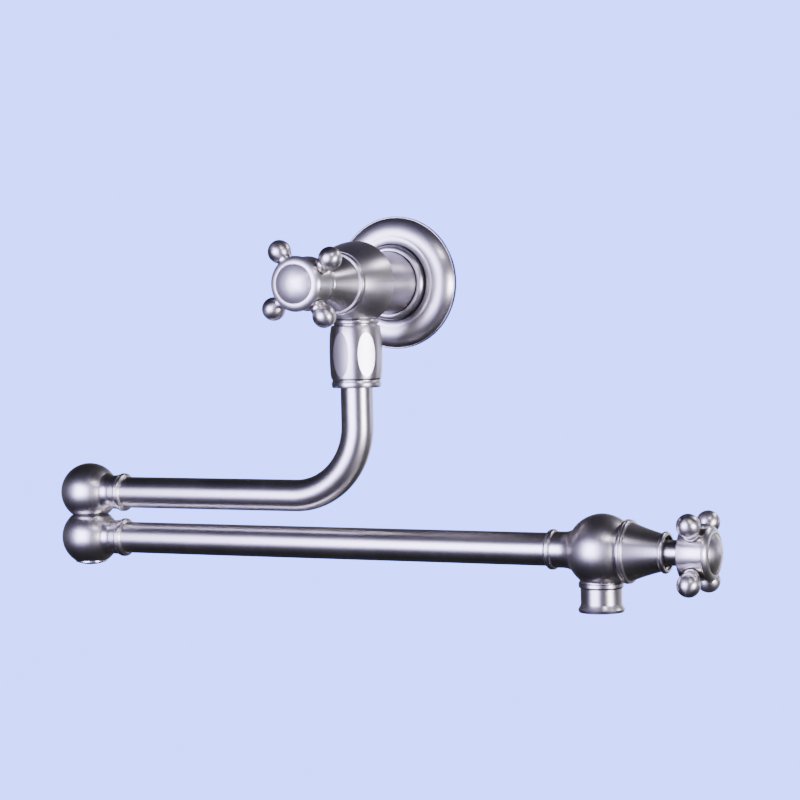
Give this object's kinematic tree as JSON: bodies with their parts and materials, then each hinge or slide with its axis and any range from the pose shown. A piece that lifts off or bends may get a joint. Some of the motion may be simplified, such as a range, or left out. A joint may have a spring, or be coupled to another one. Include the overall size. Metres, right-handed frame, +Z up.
{
  "type": "wall mounted pot filler",
  "caption": "Double-jointed pot filler tap: wall flange and valve, swinging arm in two parts, second valve with cross handle and nozzle at the end; shown folded.",
  "frame": {"origin": "on the wall, at the mouth of the inlet and on the wall valve's axis", "axes": "+X right along the wall as seen from the room, +Y into the wall, +Z up; the arms are folded along X at rest"},
  "size_m": [0.4073, 0.1258, 0.2158],
  "materials": {
    "brushed_nickel": "brushed satin nickel plate",
    "plain_brass": "machined",
    "stainless_steel": "bright",
    "ceramic": "polished",
    "seal_rubber": "matt",
    "gasket_foam": "matt foam",
    "white_plastic": "matt"
  },
  "bodies": {
    "wall_mount": {"wall_flange": "brushed_nickel", "flange_gasket": "gasket_foam", "flange_ring": "brushed_nickel", "wall_valve_body": "brushed_nickel", "wall_bonnet": "brushed_nickel", "wall_cartridge_body": "plain_brass", "wall_fixed_disc": "ceramic", "wall_seat_seal": "seal_rubber", "wall_cartridge_oring": "seal_rubber", "swivel_nipple": "brushed_nickel", "swivel_nut": "brushed_nickel"},
    "wall_handle": {"wall_handle_hub": "brushed_nickel", "wall_handle_spoke_1": "brushed_nickel", "wall_handle_spoke_2": "brushed_nickel", "wall_handle_spoke_3": "brushed_nickel", "wall_handle_spoke_4": "brushed_nickel", "wall_handle_cap": "brushed_nickel", "wall_handle_screw": "stainless_steel", "wall_spindle": "plain_brass", "wall_moving_disc": "ceramic", "wall_spindle_clip": "stainless_steel", "wall_spindle_orings": "seal_rubber"},
    "upper_arm": {"upper_arm_tube": "brushed_nickel", "swivel_spigot": "plain_brass", "swivel_orings": "seal_rubber", "swivel_washers": "white_plastic", "upper_joint_ball": "brushed_nickel", "joint_bolt": "plain_brass", "joint_orings": "seal_rubber", "joint_washer": "white_plastic", "joint_spring_washer": "stainless_steel"},
    "lower_arm": {"lower_joint_ball": "brushed_nickel", "joint_cap": "brushed_nickel", "lower_arm_tube": "brushed_nickel", "outlet_valve_body": "brushed_nickel", "outlet_bonnet": "brushed_nickel", "outlet_cartridge_body": "plain_brass", "outlet_fixed_disc": "ceramic", "outlet_seat_seal": "seal_rubber", "outlet_cartridge_oring": "seal_rubber", "outlet_nozzle": "brushed_nickel", "nozzle_washer": "seal_rubber", "flow_insert": "white_plastic"},
    "outlet_handle": {"outlet_handle_hub": "brushed_nickel", "outlet_handle_spoke_1": "brushed_nickel", "outlet_handle_spoke_2": "brushed_nickel", "outlet_handle_spoke_3": "brushed_nickel", "outlet_handle_spoke_4": "brushed_nickel", "outlet_handle_cap": "brushed_nickel", "outlet_handle_screw": "stainless_steel", "outlet_spindle": "plain_brass", "outlet_moving_disc": "ceramic", "outlet_spindle_clip": "stainless_steel", "outlet_spindle_orings": "seal_rubber"}
  },
  "joints": [
    {"name": "wall_handle_turn", "type": "hinge", "parent": "wall_mount", "child": "wall_handle", "pos_m": [0, -0.0729, 0], "axis": [0, -1, 0], "range_deg": [0, 90]},
    {"name": "upper_arm_swing", "type": "hinge", "parent": "wall_mount", "child": "upper_arm", "pos_m": [0, -0.0525, -0.0512], "axis": [0, 0, 1], "range_deg": [0, 180]},
    {"name": "lower_arm_swing", "type": "hinge", "parent": "upper_arm", "child": "lower_arm", "pos_m": [-0.1787, -0.0525, -0.1453], "axis": [0, 0, 1], "range_deg": [-180, 180]},
    {"name": "outlet_handle_turn", "type": "hinge", "parent": "lower_arm", "child": "outlet_handle", "pos_m": [0.1589, -0.0525, -0.1453], "axis": [1, 0, 0], "range_deg": [0, 90]}
  ]
}
